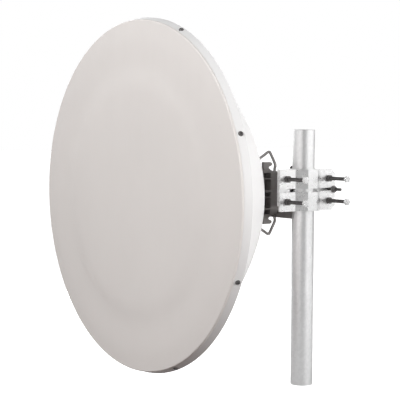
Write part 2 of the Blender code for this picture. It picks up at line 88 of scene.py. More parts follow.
class DishSettings(bpy.types.PropertyGroup):
    """Form of the bowl, its cover and its rim."""

    steps: IntProperty(
        name="Steps", description="Segments round the dish", default=180, min=48, max=360)
    bowl_depth: FloatProperty(
        name="Bowl depth", description="Depth of the bowl behind the rim", default=0.311,
        unit="LENGTH")
    bowl_radius: FloatProperty(
        name="Bowl radius", description="Radius of the bowl at its mouth", default=0.445,
        unit="LENGTH")
    rim_depth: FloatProperty(
        name="Rim depth", description="Depth of the rim behind the cover's edge", default=0.026,
        unit="LENGTH")
    rim_front: FloatProperty(
        name="Rim front radius", description="Radius of the rim at the cover", default=0.4645,
        unit="LENGTH")
    rim_rear: FloatProperty(
        name="Rim rear radius", description="Radius of the flared rim at its rear", default=0.4715,
        unit="LENGTH")
    cover_colour: FloatVectorProperty(
        name="Cover colour", description="Colour of the moulded front cover", subtype="COLOR",
        size=3, default=(0.66, 0.63, 0.61), min=0.0, max=1.0)
    paint_colour: FloatVectorProperty(
        name="Paint colour", description="Colour of the painted bowl and rim", subtype="COLOR",
        size=3, default=(0.70, 0.696, 0.694), min=0.0, max=1.0)


class MountSettings(bpy.types.PropertyGroup):
    """Finish of the hub, the clamp and the mast."""

    edge: FloatProperty(
        name="Edge", description="Width of the eased edges on plates", default=0.0012,
        unit="LENGTH")
    pitch: FloatProperty(
        name="Thread pitch", description="Distance between the threads of a clamp bolt",
        default=0.0015, unit="LENGTH")
    casting_colour: FloatVectorProperty(
        name="Casting colour", description="Colour of the powder coat on the castings",
        subtype="COLOR", size=3, default=(0.235, 0.222, 0.216), min=0.0, max=1.0)
    zinc_colour: FloatVectorProperty(
        name="Zinc colour", description="Colour of the zinc on the clamp", subtype="COLOR",
        size=3, default=(0.96, 0.96, 0.96), min=0.0, max=1.0)
    mast_colour: FloatVectorProperty(
        name="Mast colour", description="Colour of the galvanised mast", subtype="COLOR",
        size=3, default=(0.94, 0.94, 0.942), min=0.0, max=1.0)


class StageSettings(bpy.types.PropertyGroup):
    """Camera and light of the studio."""

    lens: FloatProperty(
        name="Lens", description="Focal length of the camera in millimetres", default=117.0,
        unit="CAMERA")
    key_power: FloatProperty(
        name="Key light", description="Power of the large light beside the clamp",
        default=74.0, unit="POWER")
    fill_power: FloatProperty(
        name="Fill light", description="Power of the light in front of the cover",
        default=82.0, unit="POWER")
    low_power: FloatProperty(
        name="Low light", description="Power of the low light behind the mast",
        default=56.0, unit="POWER")
    side_power: FloatProperty(
        name="Side light", description="Power of the light on the mast's far side",
        default=40.0, unit="POWER")
    rear_power: FloatProperty(
        name="Rear light", description="Power of the light above and behind the bowl",
        default=32.0, unit="POWER")
    sky: FloatProperty(
        name="Room light", description="Strength of the white room round the object", default=0.66)
    mirrored_sky: FloatProperty(
        name="Mirrored room", description="Strength of the white room as bare metal mirrors it",
        default=1.80)
    floor_bounce: FloatVectorProperty(
        name="Floor bounce", description="Colour of the light that the floor throws back up",
        subtype="COLOR", size=3, default=(0.055, 0.020, 0.012), min=0.0, max=1.0)
    floor_height: FloatProperty(
        name="Floor height", description="Height of the floor, below the reach of the tilted rim",
        default=-0.09, unit="LENGTH")


# Modelling helpers.

def nothing_selected():
    """Leave edit mode and clear the selection."""
    active = bpy.context.view_layer.objects.active
    if active is not None and active.mode != "OBJECT":
        bpy.ops.object.mode_set(mode="OBJECT")
    bpy.ops.object.select_all(action="DESELECT")


def only(obj):
    """Select one object and make it active."""
    nothing_selected()
    obj.select_set(True)
    bpy.context.view_layer.objects.active = obj


def named(name):
    """Name the object that was just added, and its mesh."""
    obj = bpy.context.view_layer.objects.active
    obj.name = name
    obj.data.name = name
    return obj


def place_in_mesh(obj, matrix=None):
    """Move the object by a matrix and write its place into its mesh."""
    only(obj)
    if matrix is not None:
        obj.matrix_world = matrix @ obj.matrix_world
    bpy.ops.object.transform_apply(location=True, rotation=True, scale=True)
    return obj


def apply_all(obj):
    """Apply every modifier in order."""
    only(obj)
    for modifier in list(obj.modifiers):
        bpy.ops.object.modifier_apply(modifier=modifier.name)
    return obj


def smooth(obj, angle):
    """Smooth shading that keeps large flat faces flat."""
    only(obj)
    bpy.ops.object.shade_smooth_by_angle(angle=math.radians(angle))
    flats = obj.modifiers.new("flat faces", "WEIGHTED_NORMAL")
    flats.mode = "FACE_AREA"
    flats.weight = 90
    flats.keep_sharp = True
    return apply_all(obj)


def eased(obj, width, segments=2, angle=30.0):
    """Round off the sharp edges."""
    bevel = obj.modifiers.new("eased edges", "BEVEL")
    bevel.width = width
    bevel.segments = segments
    bevel.limit_method = "ANGLE"
    bevel.angle_limit = math.radians(angle)
    return apply_all(obj)


def turned(name, profile, matrix, steps, closed=False):
    """Draw a profile of (radius, height) by extruding a point, and spin it about Z."""
    nothing_selected()
    bpy.ops.mesh.primitive_plane_add(size=0.001, location=(profile[0][0], 0.0, profile[0][1]))
    obj = named(name)
    bpy.ops.object.transform_apply(location=True, rotation=True, scale=True)
    bpy.ops.object.mode_set(mode="EDIT")
    bpy.ops.mesh.select_all(action="SELECT")
    bpy.ops.mesh.merge(type="CENTER")
    path = list(profile[1:]) + ([profile[0]] if closed else [])
    here = profile[0]
    for there in path:
        move = (there[0] - here[0], 0.0, there[1] - here[1])
        bpy.ops.mesh.extrude_region_move(TRANSFORM_OT_translate={"value": move})
        here = there
    bpy.ops.mesh.select_all(action="SELECT")
    bpy.ops.mesh.remove_doubles(threshold=0.000001)
    bpy.ops.mesh.select_all(action="SELECT")
    bpy.ops.mesh.spin(steps=steps, angle=math.tau, center=(0.0, 0.0, 0.0), axis=(0.0, 0.0, 1.0))
    bpy.ops.mesh.select_all(action="SELECT")
    bpy.ops.mesh.remove_doubles(threshold=0.000005)
    bpy.ops.mesh.normals_make_consistent(inside=False)
    bpy.ops.object.mode_set(mode="OBJECT")
    return place_in_mesh(obj, matrix)


def facing(origin, along):
    """Matrix that stands local Z along a direction, at an origin."""
    aim = Vector(along).to_track_quat("Z", "Y").to_matrix().to_4x4()
    return Matrix.Translation(Vector(origin)) @ aim


def on_dish_axis():
    """Matrix that takes a turned profile to the dish, its height counted from the face."""
    return Matrix.Translation((DISH_CENTRE.x, FACE_Y, DISH_CENTRE.z)) @ REARWARDS


def copied(obj, name, matrix):
    """A copy with a mesh of its own, moved by a matrix."""
    other = obj.copy()
    other.data = obj.data.copy()
    other.name = name
    other.data.name = name
    bpy.context.scene.collection.objects.link(other)
    return place_in_mesh(other, matrix)


def from_solid(node, name, width, segments=2):
    """The node's form with its faces merged and its edges eased."""
    source = NODES[node]
    mesh = source.data.copy()
    obj = bpy.data.objects.new(name, mesh)
    mesh.name = name
    bpy.context.scene.collection.objects.link(obj)
    only(obj)
    bpy.ops.object.mode_set(mode="EDIT")
    bpy.ops.mesh.select_all(action="SELECT")
    bpy.ops.mesh.remove_doubles(threshold=0.000002)
    bpy.ops.mesh.dissolve_limited(angle_limit=math.radians(0.6))
    bpy.ops.object.mode_set(mode="OBJECT")
    obj.data.materials.clear()
    eased(obj, width, segments)
    return smooth(obj, 40.0)


def dressed(obj, body, nodes, material):
    """Give the piece its body, the nodes that it stands for and its finish."""
    if not obj.data.polygons:
        raise RuntimeError(f"{obj.name} has no faces")
    obj.data.materials.clear()
    obj.data.materials.append(material)
    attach(obj, body)
    if nodes:
        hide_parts(*nodes)


# Shared effects, as node groups.

def added(tree, kind, inputs=(), **settings):
    """A new shader node with its settings, and with values on its inputs."""
    node = tree.nodes.new(f"ShaderNode{kind}")
    for name, value in settings.items():
        setattr(node, name, value)
    for label, value in dict(inputs).items():
        node.inputs[label].default_value = value
    return node


def link(tree, *wires):
    """Join sockets; each wire is a node and its output, then a node and its input."""
    for source, output, target, entry in wires:
        tree.links.new(source.outputs[output], target.inputs[entry])


def new_group(name, inputs, outputs):
    """An empty node group with its sockets."""
    group = bpy.data.node_groups.new(name, "ShaderNodeTree")
    for label, kind, default in inputs:
        socket = group.interface.new_socket(
            label, in_out="INPUT", socket_type=f"NodeSocket{kind}")
        socket.default_value = default
    for label, kind in outputs:
        group.interface.new_socket(label, in_out="OUTPUT", socket_type=f"NodeSocket{kind}")
    return group, group.nodes.new("NodeGroupInput"), group.nodes.new("NodeGroupOutput")


def group_mottle():
    """Soft uneven tone: blends two colours in broad clouds, with fine flecks."""
    group, start, end = new_group(
        "Mottle",
        [("Coordinates", "Vector", (0.0, 0.0, 0.0)), ("Scale", "Float", 4.0),
         ("Fleck scale", "Float", 300.0), ("Fleck amount", "Float", 0.2),
         ("Colour", "Color", (0.5, 0.5, 0.5, 1.0)),
         ("Other colour", "Color", (0.4, 0.4, 0.4, 1.0))],
        [("Colour", "Color"), ("Mask", "Float")])
    cloud = added(group, "TexNoise", {"Detail": 5.0, "Roughness": 0.55})
    fleck = added(group, "TexNoise", {"Detail": 2.0})
    spread = added(group, "MapRange", {"From Min": 0.32, "From Max": 0.68})
    centred = added(group, "Math", {1: 0.5}, operation="SUBTRACT")
    flecked = added(group, "Math", operation="MULTIPLY_ADD")
    limit = added(group, "Clamp")
    mix = added(group, "Mix", data_type="RGBA")
    link(
        group, (start, "Coordinates", cloud, "Vector"), (start, "Scale", cloud, "Scale"),
        (start, "Coordinates", fleck, "Vector"), (start, "Fleck scale", fleck, "Scale"),
        (cloud, "Fac", spread, "Value"), (fleck, "Fac", centred, 0), (centred, 0, flecked, 0),
        (start, "Fleck amount", flecked, 1), (spread, "Result", flecked, 2),
        (flecked, 0, limit, "Value"), (limit, "Result", mix, "Factor"),
        (start, "Colour", mix, "A"), (start, "Other colour", mix, "B"),
        (mix, "Result", end, "Colour"), (limit, "Result", end, "Mask"))
    return group


def group_streaks():
    """Faint rain streaks and settled dust that run down a surface."""
    group, start, end = new_group(
        "Rain streaks",
        [("Coordinates", "Vector", (0.0, 0.0, 0.0)), ("Scale", "Float", 30.0),
         ("Amount", "Float", 0.3), ("Colour", "Color", (0.5, 0.5, 0.5, 1.0)),
         ("Dirt colour", "Color", (0.3, 0.28, 0.25, 1.0))],
        [("Colour", "Color"), ("Mask", "Float")])
    squeeze = added(group, "VectorMath", {1: (1.0, 1.0, 0.06)}, operation="MULTIPLY")
    streak = added(group, "TexNoise", {"Detail": 6.0, "Roughness": 0.6})
    spread = added(group, "MapRange", {"From Min": 0.48, "From Max": 0.78})
    patch = added(group, "TexNoise", {"Scale": 5.0})
    patchy = added(group, "Math", operation="MULTIPLY")
    amount = added(group, "Math", operation="MULTIPLY")
    mix = added(group, "Mix", data_type="RGBA")
    link(
        group, (start, "Coordinates", squeeze, 0), (squeeze, 0, streak, "Vector"),
        (start, "Scale", streak, "Scale"), (streak, "Fac", spread, "Value"),
        (start, "Coordinates", patch, "Vector"), (spread, "Result", patchy, 0),
        (patch, "Fac", patchy, 1), (patchy, 0, amount, 0), (start, "Amount", amount, 1),
        (amount, 0, mix, "Factor"), (start, "Colour", mix, "A"),
        (start, "Dirt colour", mix, "B"), (mix, "Result", end, "Colour"),
        (patchy, 0, end, "Mask"))
    return group


def group_grain():
    """Orange-peel or cast grain as a height and a roughness."""
    group, start, end = new_group(
        "Grain",
        [("Coordinates", "Vector", (0.0, 0.0, 0.0)), ("Scale", "Float", 400.0),
         ("Rough low", "Float", 0.4), ("Rough high", "Float", 0.6)],
        [("Height", "Float"), ("Roughness", "Float")])
    fine = added(group, "TexNoise", {"Detail": 3.0})
    wide = added(group, "TexNoise", {"Scale": 18.0, "Detail": 4.0})
    rough = added(group, "MapRange", {"From Min": 0.35, "From Max": 0.65})
    link(
        group, (start, "Coordinates", fine, "Vector"), (start, "Scale", fine, "Scale"),
        (start, "Coordinates", wide, "Vector"), (wide, "Fac", rough, "Value"),
        (start, "Rough low", rough, "To Min"), (start, "Rough high", rough, "To Max"),
        (fine, "Fac", end, "Height"), (rough, "Result", end, "Roughness"))
    return group


def group_spangle():
    """Crystals of hot-dip zinc: a tone, a roughness and a faint relief."""
    group, start, end = new_group(
        "Zinc spangle",
        [("Coordinates", "Vector", (0.0, 0.0, 0.0)), ("Scale", "Float", 90.0),
         ("Contrast", "Float", 0.12), ("Colour", "Color", (0.7, 0.7, 0.7, 1.0)),
         ("Rough low", "Float", 0.3), ("Rough high", "Float", 0.5)],
        [("Colour", "Color"), ("Roughness", "Float"), ("Height", "Float")])
    cells = added(group, "TexVoronoi", {"Randomness": 1.0})
    value = added(group, "SeparateColor")
    darkest = added(group, "Math", {0: 1.0}, operation="SUBTRACT")
    tone = added(group, "MapRange", {"To Max": 1.0})
    scale = added(group, "VectorMath", operation="SCALE")
    rough = added(group, "MapRange")
    link(
        group, (start, "Coordinates", cells, "Vector"), (start, "Scale", cells, "Scale"),
        (cells, "Color", value, "Color"), (value, "Red", tone, "Value"),
        (start, "Contrast", darkest, 1), (darkest, 0, tone, "To Min"),
        (start, "Colour", scale, 0), (tone, "Result", scale, "Scale"),
        (value, "Green", rough, "Value"), (start, "Rough low", rough, "To Min"),
        (start, "Rough high", rough, "To Max"), (scale, "Vector", end, "Colour"),
        (rough, "Result", end, "Roughness"), (cells, "Distance", end, "Height"))
    return group


EFFECTS = {}


def effect(tree, maker, **values):
    """Place a shared effect in a material, and make it when it is first used."""
    if maker not in EFFECTS:
        EFFECTS[maker] = maker()
    values = {label.replace("_", " "): value for label, value in values.items()}
    return added(tree, "Group", values, node_tree=EFFECTS[maker])


# Finishes.

def rgba(colour, factor=1.0):
    """A colour with its alpha, scaled by a factor."""
    return (*[min(1.0, part * factor) for part in colour], 1.0)


def new_material(name, metallic):
    """A material with its shader and its texture coordinates."""
    material = bpy.data.materials.new(name)
    material.use_nodes = True
    tree = material.node_tree
    shader = tree.nodes["Principled BSDF"]
    shader.inputs["Metallic"].default_value = metallic
    shader.inputs["IOR"].default_value = 1.5
    return material, tree, shader, added(tree, "TexCoord")


def surface(tree, shader, place, tones, grain, strength, distance):
    """Chain the effects of colour, and give the shader the grain's roughness and relief."""
    bump = added(tree, "Bump", {"Strength": strength, "Distance": distance})
    for node in (*tones, grain):
        link(tree, (place, "Object", node, "Coordinates"))
    for before, after in zip(tones, tones[1:]):
        link(tree, (before, "Colour", after, "Colour"))
    link(
        tree, (tones[-1], "Colour", shader, "Base Color"),
        (grain, "Roughness", shader, "Roughness"), (grain, "Height", bump, "Height"),
        (bump, "Normal", shader, "Normal"))


def coated_finish(name, colour, patches, dirt, dirt_amount, grain_scale, rough, bump, coat=0.0):
    """Powder coat or moulded plastic with soft patches of tone, streaks and grain."""
    material, tree, shader, place = new_material(name, 0.0)
    tone = effect(
        tree, group_mottle, Scale=3.0, Fleck_scale=420.0, Fleck_amount=0.22,
        Colour=rgba(colour), Other_colour=rgba(colour, patches))
    rain = effect(tree, group_streaks, Scale=26.0, Amount=dirt_amount, Dirt_colour=rgba(dirt))
    grain = effect(
        tree, group_grain, Scale=grain_scale, Rough_low=rough[0], Rough_high=rough[1])
    surface(tree, shader, place, [tone, rain], grain, bump, 0.0004)
    shader.inputs["Coat Weight"].default_value = coat
    shader.inputs["Coat Roughness"].default_value = 0.3
    return material


def zinc_finish(name, colour, scale, rough, contrast, metallic, bump, wear):
    """Zinc on steel: crystals, dull patches and a faint relief."""
    material, tree, shader, place = new_material(name, metallic)
    crystal = effect(
        tree, group_spangle, Scale=scale, Contrast=contrast, Colour=rgba(colour),
        Rough_low=rough[0], Rough_high=rough[1])
    dull = effect(
        tree, group_streaks, Scale=40.0, Amount=wear, Dirt_colour=rgba(colour, 0.75))
    surface(tree, shader, place, [crystal, dull], crystal, bump, 0.0003)
    return material


def dark_steel_finish(name, colour, rough):
    """Oiled dark steel of bolts and nuts."""
    material, tree, shader, place = new_material(name, 0.75)
    tone = effect(
        tree, group_mottle, Scale=60.0, Fleck_scale=900.0, Fleck_amount=0.4,
        Colour=rgba(colour), Other_colour=rgba(colour, 1.5))
    grain = effect(tree, group_grain, Scale=900.0, Rough_low=rough[0], Rough_high=rough[1])
    surface(tree, shader, place, [tone], grain, 0.1, 0.0002)
    return material


def moulded_cover():
    """Pale warm plastic of the front cover."""
    colour = tuple(bpy.context.scene.dish_settings.cover_colour)
    return coated_finish(
        "moulded cover", colour, patches=0.965, dirt=[part * 0.82 for part in colour],
        dirt_amount=0.10, grain_scale=700.0, rough=(0.48, 0.60), bump=0.10)


def white_paint():
    """Slightly glossy white paint of the bowl and the rim."""
    colour = tuple(bpy.context.scene.dish_settings.paint_colour)
    return coated_finish(
        "white paint", colour, patches=0.975, dirt=[part * 0.80 for part in colour],
        dirt_amount=0.12, grain_scale=520.0, rough=(0.36, 0.48), bump=0.12, coat=0.15)


def casting_paint():
    """Dark grey powder coat over a cast grain."""
    colour = tuple(bpy.context.scene.mount_settings.casting_colour)
    return coated_finish(
        "casting paint", colour, patches=1.35, dirt=(0.16, 0.15, 0.14),
        dirt_amount=0.35, grain_scale=650.0, rough=(0.50, 0.66), bump=0.45)


def clamp_zinc():
    """Bright zinc of the jaws, the saddle, the bracket and the port."""
    return zinc_finish(
        "clamp zinc", tuple(bpy.context.scene.mount_settings.zinc_colour), scale=420.0,
        rough=(0.27, 0.33), contrast=0.05, metallic=0.9, bump=0.012, wear=0.2)


def mast_zinc():
    """Hot-dip zinc of the pipe."""
    return zinc_finish(
        "mast zinc", tuple(bpy.context.scene.mount_settings.mast_colour), scale=160.0,
        rough=(0.33, 0.41), contrast=0.06, metallic=0.96, bump=0.012, wear=0.2)


def bolt_zinc():
    """Plated heads of the clamp bolts."""
    return zinc_finish(
        "bolt zinc", [part * 0.9 for part in bpy.context.scene.mount_settings.zinc_colour],
        scale=500.0, rough=(0.22, 0.30), contrast=0.06, metallic=0.9, bump=0.03, wear=0.15)


def dark_steel():
    """Nearly black bolts, nuts and screws."""
    return dark_steel_finish("dark steel", (0.105, 0.10, 0.10), (0.34, 0.5))


def grey_steel():
    """Lighter washer and nut of the pivot."""
    return dark_steel_finish("grey steel", (0.20, 0.195, 0.195), (0.34, 0.5))


FINISHES = {}


def finish(maker):
    """The material of a finish, made when it is first used."""
    if maker not in FINISHES:
        FINISHES[maker] = maker()
    return FINISHES[maker]


# Forms.

def blended(points, radius, count):
    """A profile with its inner corners rounded."""
    result = [points[0]]
    for before, corner, after in zip(points, points[1:], points[2:]):
        corner_v = Vector(corner)
        back = Vector(before) - corner_v
        ahead = Vector(after) - corner_v
        reach = min(radius, 0.45 * back.length, 0.45 * ahead.length)
        start = corner_v + back.normalized() * reach
        end = corner_v + ahead.normalized() * reach
        for i in range(count + 1):
            t = i / count
            point = start * (1 - t) ** 2 + corner_v * 2 * t * (1 - t) + end * t ** 2
            result.append((point.x, point.y))
    result.append(points[-1])
    return result


def threaded(name, length, radius, pitch, segments=20):
    """A threaded bar along Z from 0, with a chamfered tip at each end."""
    depth = 0.55 * pitch
    turns = int((length - 2.0 * depth) / pitch)
    nothing_selected()
    bpy.ops.mesh.primitive_plane_add(size=0.001, location=(radius - depth, 0.0, 0.0))
    thread = named(name)
    bpy.ops.object.transform_apply(location=True, rotation=True, scale=True)
    bpy.ops.object.mode_set(mode="EDIT")
    bpy.ops.mesh.select_all(action="SELECT")
    bpy.ops.mesh.merge(type="CENTER")
    for across, up in ((depth, 0.45 * pitch), (0.0, 0.10 * pitch), (-depth, 0.45 * pitch)):
        bpy.ops.mesh.extrude_region_move(TRANSFORM_OT_translate={"value": (across, 0.0, up)})
    bpy.ops.object.mode_set(mode="OBJECT")
    screw = thread.modifiers.new("thread", "SCREW")
    screw.axis = "Z"
    screw.angle = math.tau
    screw.screw_offset = pitch
    screw.iterations = turns
    screw.steps = segments
    screw.render_steps = segments
    screw.use_merge_vertices = True
    screw.merge_threshold = 0.00001
    apply_all(thread)
    thread.location.z = (length - (turns + 1) * pitch) / 2.0
    tip, root = radius - 2.0 * depth, radius - 0.9 * depth
    core = turned(
        f"{name}_core",
        [(0.0, 0.0), (tip, 0.0), (root, 1.2 * depth), (root, length - 1.2 * depth),
         (tip, length), (0.0, length)], None, segments)
    return joined(thread, [core])


def joined(obj, others):
    """Join objects into one piece."""
    only(obj)
    for other in others:
        other.select_set(True)
    bpy.ops.object.join()
    return place_in_mesh(obj)


def hexagon_head(name, across_flats, height, both=False, bore=0.0):
    """A chamfered hexagon along Z from 0; both chamfers its lower face as well."""
    corner = across_flats / math.sqrt(3.0)
    nothing_selected()
    bpy.ops.mesh.primitive_cylinder_add(
        vertices=6, radius=corner, depth=height, location=(0, 0, height / 2.0))
    head = named(name)
    place_in_mesh(head)
    flat, past = 0.465 * across_flats, corner + 0.0002
    drop = (corner - flat) * math.tan(math.radians(30.0))
    low = [(0.0, 0.0), (flat, 0.0), (past, drop)] if both else [(0.0, 0.0), (past, 0.0)]
    high = [(past, height - drop), (flat, height), (0.0, height)]
    dome = turned("chamfer", low + high, None, 48)
    steps = [(dome, "INTERSECT")]
    if bore:
        nothing_selected()
        bpy.ops.mesh.primitive_cylinder_add(
            vertices=24, radius=bore, depth=3.0 * height, location=(0, 0, height / 2.0))
        steps.append((bpy.context.object, "DIFFERENCE"))
    for tool, operation in steps:
        cut = head.modifiers.new(operation.lower(), "BOOLEAN")
        cut.operation = operation
        cut.solver = "EXACT"
        cut.object = tool
    apply_all(head)
    for tool, _ in steps:
        bpy.data.objects.remove(tool, do_unlink=True)
    eased(head, 0.00025, 1, 25.0)
    return smooth(head, 25.0)


def placed_copies(model, body, names, matrices, maker):
    """Copies of a model, each in the place of its own CAD node if it has one."""
    for (name, node), matrix in zip(names, matrices):
        piece = copied(model, name, matrix)
        dressed(piece, body, [node] if node else [], finish(maker))
    bpy.data.objects.remove(model, do_unlink=True)


def at_low_x(node):
    """Matrix that lays a model along X, from the left end of a node's box."""
    low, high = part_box(node)
    return Matrix.Translation((low.x, (low.y + high.y) / 2.0, (low.z + high.z) / 2.0)) @ ALONG_X


class DISH_OT_cover(bpy.types.Operator):
    """Model the moulded cover with its stepped face and rolled edge"""

    bl_idname = "dish.cover"
    bl_label = "Cover"

    def execute(self, context):
        steps = context.scene.dish_settings.steps
        panel_r, step_r, border_r = 0.295, 0.340, 0.4185
        rise, sheet, roll = 0.004, 0.003, 0.005
        front = blended([
            (0.0, -PANEL_RISE), (panel_r, -PANEL_RISE), (step_r, -rise), (border_r, -rise),
            (FACE_R - 0.0022, -0.0008), (FACE_R, 0.0012), (FACE_R, roll)], 0.020, 8)
        back = [
            (FACE_R - sheet, roll), (FACE_R - sheet, roll - 0.0015), (border_r, sheet - rise),
            (step_r, sheet - rise), (panel_r, sheet - PANEL_RISE), (0.0, sheet - PANEL_RISE)]
        cover = turned("cover", front + back, on_dish_axis(), steps)
        smooth(cover, 40.0)
        dressed(cover, "antenna", ["radome"], finish(moulded_cover))
        return {"FINISHED"}


class DISH_OT_bowl(bpy.types.Operator):
    """Spin the deep bowl with its flat mounting flange"""

    bl_idname = "dish.bowl"
    bl_label = "Bowl"

    def execute(self, context):
        settings = context.scene.dish_settings
        depth, mouth, rim = settings.bowl_depth, settings.bowl_radius, settings.rim_depth
        rings, sheet, lip_r, lip_sheet = 40, 0.0025, 0.4673, 0.003
        radii = [mouth * i / rings for i in range(rings + 1)]
        outer = [(radius, rim + depth * (1.0 - (radius / mouth) ** 2)) for radius in radii]
        inner = []
        for radius, height in reversed(outer[:-1]):
            slope = math.hypot(1.0, 2.0 * depth * radius / mouth ** 2)
            if height - sheet * slope > rim:
                inner.append((radius * 0.995, height - sheet * slope))
        lip = [
            (lip_r - 0.0008, rim), (lip_r, rim - 0.0008), (lip_r, rim - lip_sheet),
            (mouth - 0.0062, rim - lip_sheet)]
        bowl = turned("bowl", outer + lip + inner, on_dish_axis(), settings.steps)
        smooth(bowl, 40.0)
        dressed(bowl, "antenna", ["reflector"], finish(white_paint))
        return {"FINISHED"}


class DISH_OT_rim(bpy.types.Operator):
    """Roll the rim band and set its screws"""

    bl_idname = "dish.rim"
    bl_label = "Rim"

    def execute(self, context):
        settings = context.scene.dish_settings
        rim, front, rear = settings.rim_depth, settings.rim_front, settings.rim_rear
        start, sheet, lip, ease = 0.0053, 0.0027, 0.018, 0.0010
        flare = math.atan2(rear - front, rim - start)
        slant = ease * math.sin(flare)
        profile = [
            (front - lip, start), (front - ease, start), (front - 0.0003, start + 0.0003),
            (front + slant, start + ease), (rear - slant, rim - ease),
            (rear - 0.0004, rim - 0.0003), (rear - ease, rim), (rear - sheet + 0.0004, rim),
            (rear - sheet, rim - 0.0006), (front - sheet + 0.0004, start + sheet + ease),
            (front - sheet - ease, start + sheet), (front - lip, start + sheet)]
        band = turned("rolled_rim", profile, on_dish_axis(), settings.steps, closed=True)
        smooth(band, 40.0)
        dressed(band, "antenna", ["rim_band"], finish(white_paint))
        screw = self.screw_model()
        for i in range(8):
            node = f"rim_screw_{i + 1}"
            where = middle(node)
            outward = Vector((where.x - DISH_CENTRE.x, 0.0, where.z - DISH_CENTRE.z)).normalized()
            square = outward * math.cos(flare) - Vector((0.0, math.sin(flare), 0.0))
            square.normalize()
            piece = copied(screw, f"socket_screw_{i + 1}", facing(where - square * 0.0022, square))
            dressed(piece, "antenna", [node], finish(dark_steel))
        bpy.data.objects.remove(screw, do_unlink=True)
        return {"FINISHED"}

    @staticmethod
    def screw_model():
        """A pan head on a thin washer, with a hexagon socket, standing along Z."""
        head = turned(
            "screw_model",
            [(0.0, 0.0), (0.0064, 0.0), (0.0066, 0.0004), (0.0064, 0.0009), (0.0055, 0.0010),
             (0.0055, 0.0022), (0.0051, 0.0033), (0.0043, 0.0040), (0.0030, 0.0043), (0.0, 0.0043)],
            None, 32)
        nothing_selected()
        bpy.ops.mesh.primitive_cylinder_add(
            vertices=6, radius=0.0023, depth=0.005, location=(0, 0, 0.0045))
        socket = bpy.context.object
        cut = head.modifiers.new("socket", "BOOLEAN")
        cut.operation = "DIFFERENCE"
        cut.solver = "EXACT"
        cut.object = socket
        apply_all(head)
        bpy.data.objects.remove(socket, do_unlink=True)
        return smooth(head, 35.0)


class DISH_OT_hub(bpy.types.Operator):
    """Ease the ribbed hub, its flange, its rear plate and the port"""

    bl_idname = "dish.hub"
    bl_label = "Hub"

    def execute(self, context):
        for node, name, edge in (
                ("hub_body", "ribbed_hub", 0.0012), ("hub_rear_plate", "hub_back", 0.0015),
                ("hub_flange", "hub_ring", 0.0010)):
            piece = from_solid(node, name, edge)
            dressed(piece, "antenna", [node], finish(casting_paint))
        low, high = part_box("radio_port")
        outer = (high.x - low.x) / 2.0
        depth = high.y - low.y
        bore, groove = 0.010, 0.0012
        profile = blended([
            (bore, 0.0), (outer, 0.0), (outer, depth), (outer - 0.004, depth),
            (outer - 0.0045, depth - groove), (bore + 0.0035, depth - groove),
            (bore + 0.0030, depth), (bore, depth), (bore, 0.0)], 0.0006, 2)
        centre = (middle("radio_port").x, low.y, middle("radio_port").z)
        place = Matrix.Translation(centre) @ REARWARDS
        port = turned("port_ring", profile[:-1], place, 64, closed=True)
        smooth(port, 35.0)
        dressed(port, "antenna", ["radio_port"], finish(clamp_zinc))
        return {"FINISHED"}


class DISH_OT_latches(bpy.types.Operator):
    """Ease the bent spring latches"""

    bl_idname = "dish.latches"
    bl_label = "Latches"

    def execute(self, context):
        for i in range(4):
            node = f"latch_{i + 1}"
            piece = from_solid(node, f"spring_latch_{i + 1}", 0.0016, 3)
            dressed(piece, "antenna", [node], finish(casting_paint))
        return {"FINISHED"}


class DISH_OT_bracket(bpy.types.Operator):
    """Ease the bracket plate and the elevation arm"""

    bl_idname = "dish.bracket"
    bl_label = "Bracket"

    def execute(self, context):
        edge = context.scene.mount_settings.edge
        bracket = from_solid("bracket", "bracket_angle", edge)
        dressed(bracket, "antenna", ["bracket"], finish(clamp_zinc))
        arm = from_solid("elevation_arm", "elevation_bar", edge)
        dressed(arm, "antenna", ["elevation_arm"], finish(casting_paint))
        return {"FINISHED"}


class DISH_OT_clamp(bpy.types.Operator):
    """Ease the jaws and the saddle that grip the mast"""

    bl_idname = "dish.clamp"
    bl_label = "Clamp"

    def execute(self, context):
        edge = context.scene.mount_settings.edge
        for node, name in (
                ("upper_jaw", "clamp_jaw_upper"), ("lower_jaw", "clamp_jaw_lower"),
                ("saddle", "clamp_saddle")):
            piece = from_solid(node, name, edge)
            dressed(piece, "clamp", [node], finish(clamp_zinc))
        return {"FINISHED"}


class DISH_OT_clamp_bolts(bpy.types.Operator):
    """Cut the threads of the four clamp bolts and chamfer their heads and nuts"""

    bl_idname = "dish.clamp_bolts"
    bl_label = "Clamp bolts"

    def execute(self, context):
        pitch = context.scene.mount_settings.pitch
        low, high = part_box("clamp_bolt_1")
        length = high.x - low.x - CLAMP_BOLT_HEAD
        shank = threaded("bolt_model", length + 0.0005, CLAMP_BOLT_R, pitch)
        names = [(f"threaded_bolt_{i}", f"clamp_bolt_{i}") for i in range(1, 5)]
        placed_copies(shank, "clamp", names, [at_low_x(node) for _, node in names], dark_steel)
        head = hexagon_head("head_model", CLAMP_BOLT_FLATS, CLAMP_BOLT_HEAD)
        names = [(f"bolt_head_{i}", "") for i in range(1, 5)]
        matrices = []
        for i in range(1, 5):
            low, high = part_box(f"clamp_bolt_{i}")
            seat = (high.x - CLAMP_BOLT_HEAD, (low.y + high.y) / 2.0, (low.z + high.z) / 2.0)
            matrices.append(Matrix.Translation(seat) @ ALONG_X)
        placed_copies(head, "clamp", names, matrices, bolt_zinc)
        low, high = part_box("clamp_nut_1")
        nut = hexagon_head("nut_model", CLAMP_BOLT_FLATS, high.x - low.x, True, CLAMP_NUT_BORE)
        names = [(f"jaw_nut_{i}", f"clamp_nut_{i}") for i in range(1, 5)]
        placed_copies(nut, "clamp", names, [at_low_x(node) for _, node in names], dark_steel)
        return {"FINISHED"}


